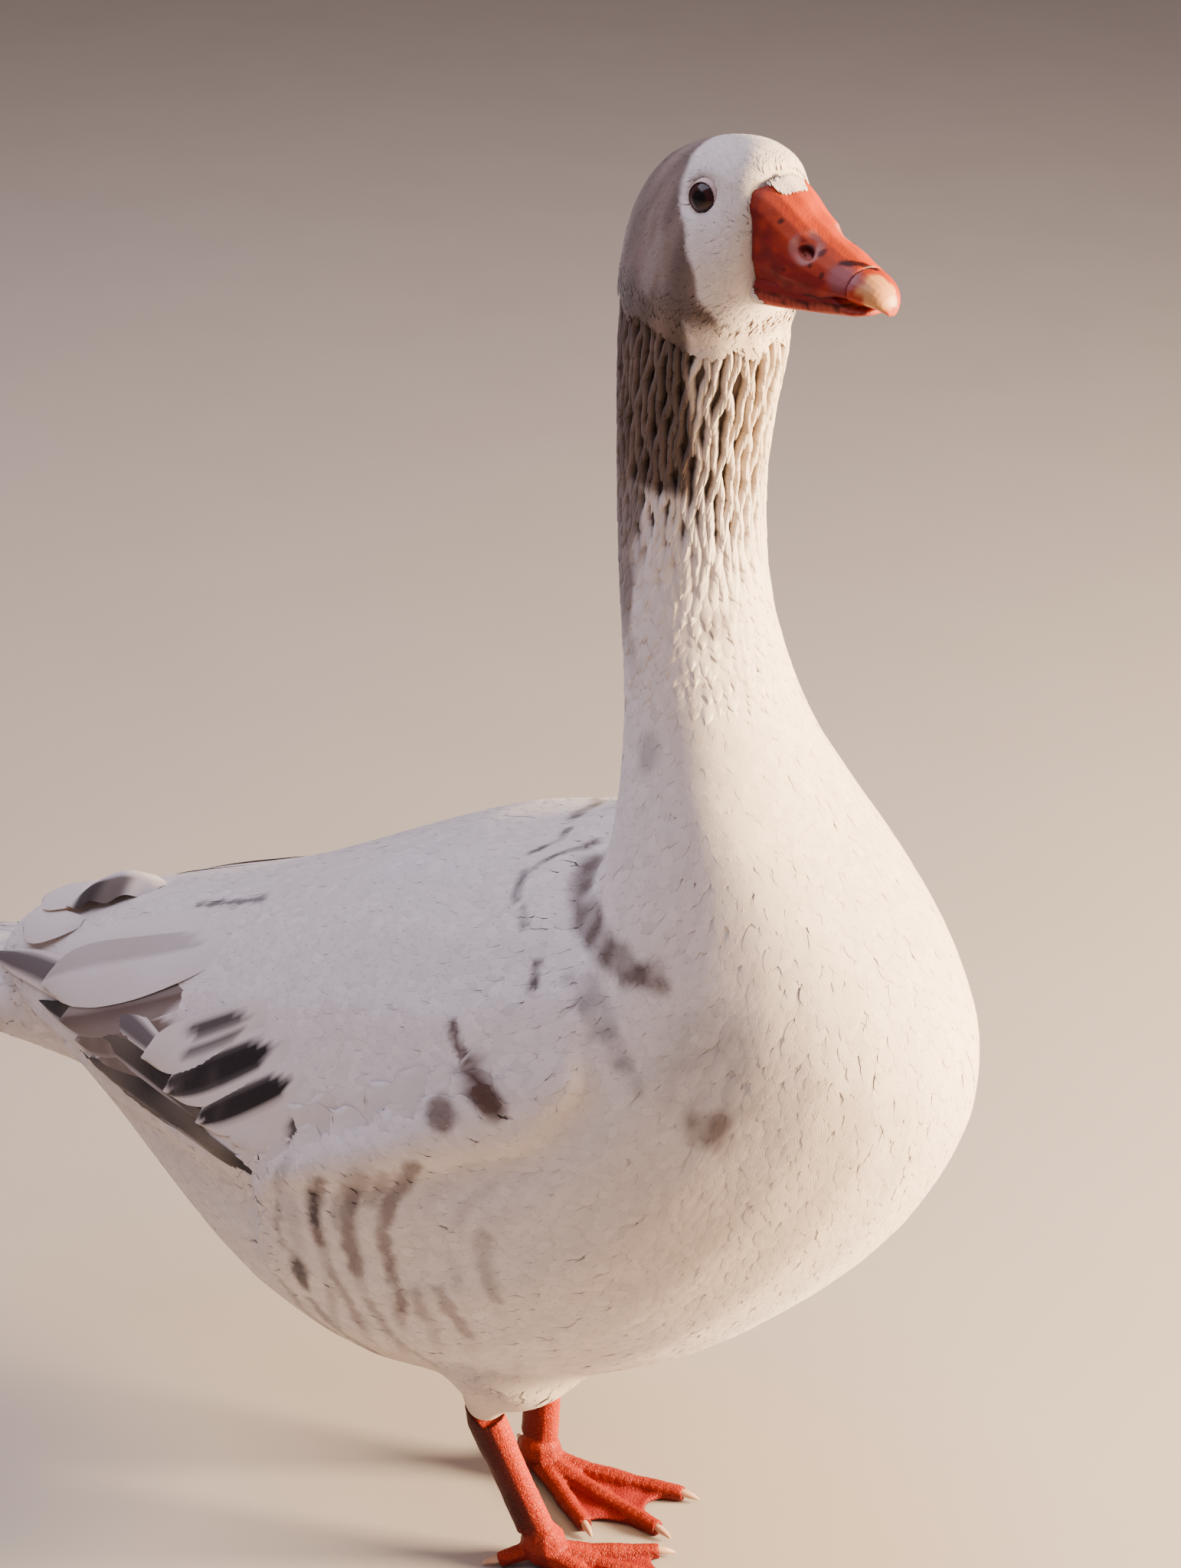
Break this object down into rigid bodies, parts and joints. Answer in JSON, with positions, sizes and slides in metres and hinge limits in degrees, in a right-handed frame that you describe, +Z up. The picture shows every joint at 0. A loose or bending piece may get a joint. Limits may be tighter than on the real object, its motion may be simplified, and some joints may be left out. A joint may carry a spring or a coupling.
{
  "type": "domestic goose",
  "caption": "Still, life-size domestic goose standing alert with one leg ahead, neck upright, wings folded, and its head turned a little to its right.",
  "frame": {"origin": "on the floor under the middle of the goose's bounding box", "axes": "+X the way the goose's body faces, +Y to its left, +Z up"},
  "size_m": [0.67, 0.2738, 0.7767],
  "materials": {
    "plumage": "white feathers with grey-brown markings, soft and matt",
    "bill_horn": "orange-red horn, waxy",
    "bill_nail": "pale pinkish horn",
    "eye": "dark brown, wet and glossy",
    "leg_skin": "orange-red scaly skin",
    "claw": "pale brown horn"
  },
  "bodies": {
    "root": {"bill_lower": "bill_horn", "bill_nail": "bill_nail", "bill_upper": "bill_horn", "claw_left_hind": "claw", "claw_left_inner": "claw", "claw_left_middle": "claw", "claw_left_outer": "claw", "claw_right_hind": "claw", "claw_right_inner": "claw", "claw_right_middle": "claw", "claw_right_outer": "claw", "eye_left": "eye", "eye_right": "eye", "foot_left": "leg_skin", "foot_right": "leg_skin", "head": "plumage", "neck_lower": "plumage", "neck_upper": "plumage", "shank_left": "leg_skin", "shank_right": "leg_skin", "tail": "plumage", "thigh_left": "plumage", "thigh_right": "plumage", "trunk": "plumage", "wing_left": "plumage", "wing_right": "plumage"}
  },
  "joints": []
}
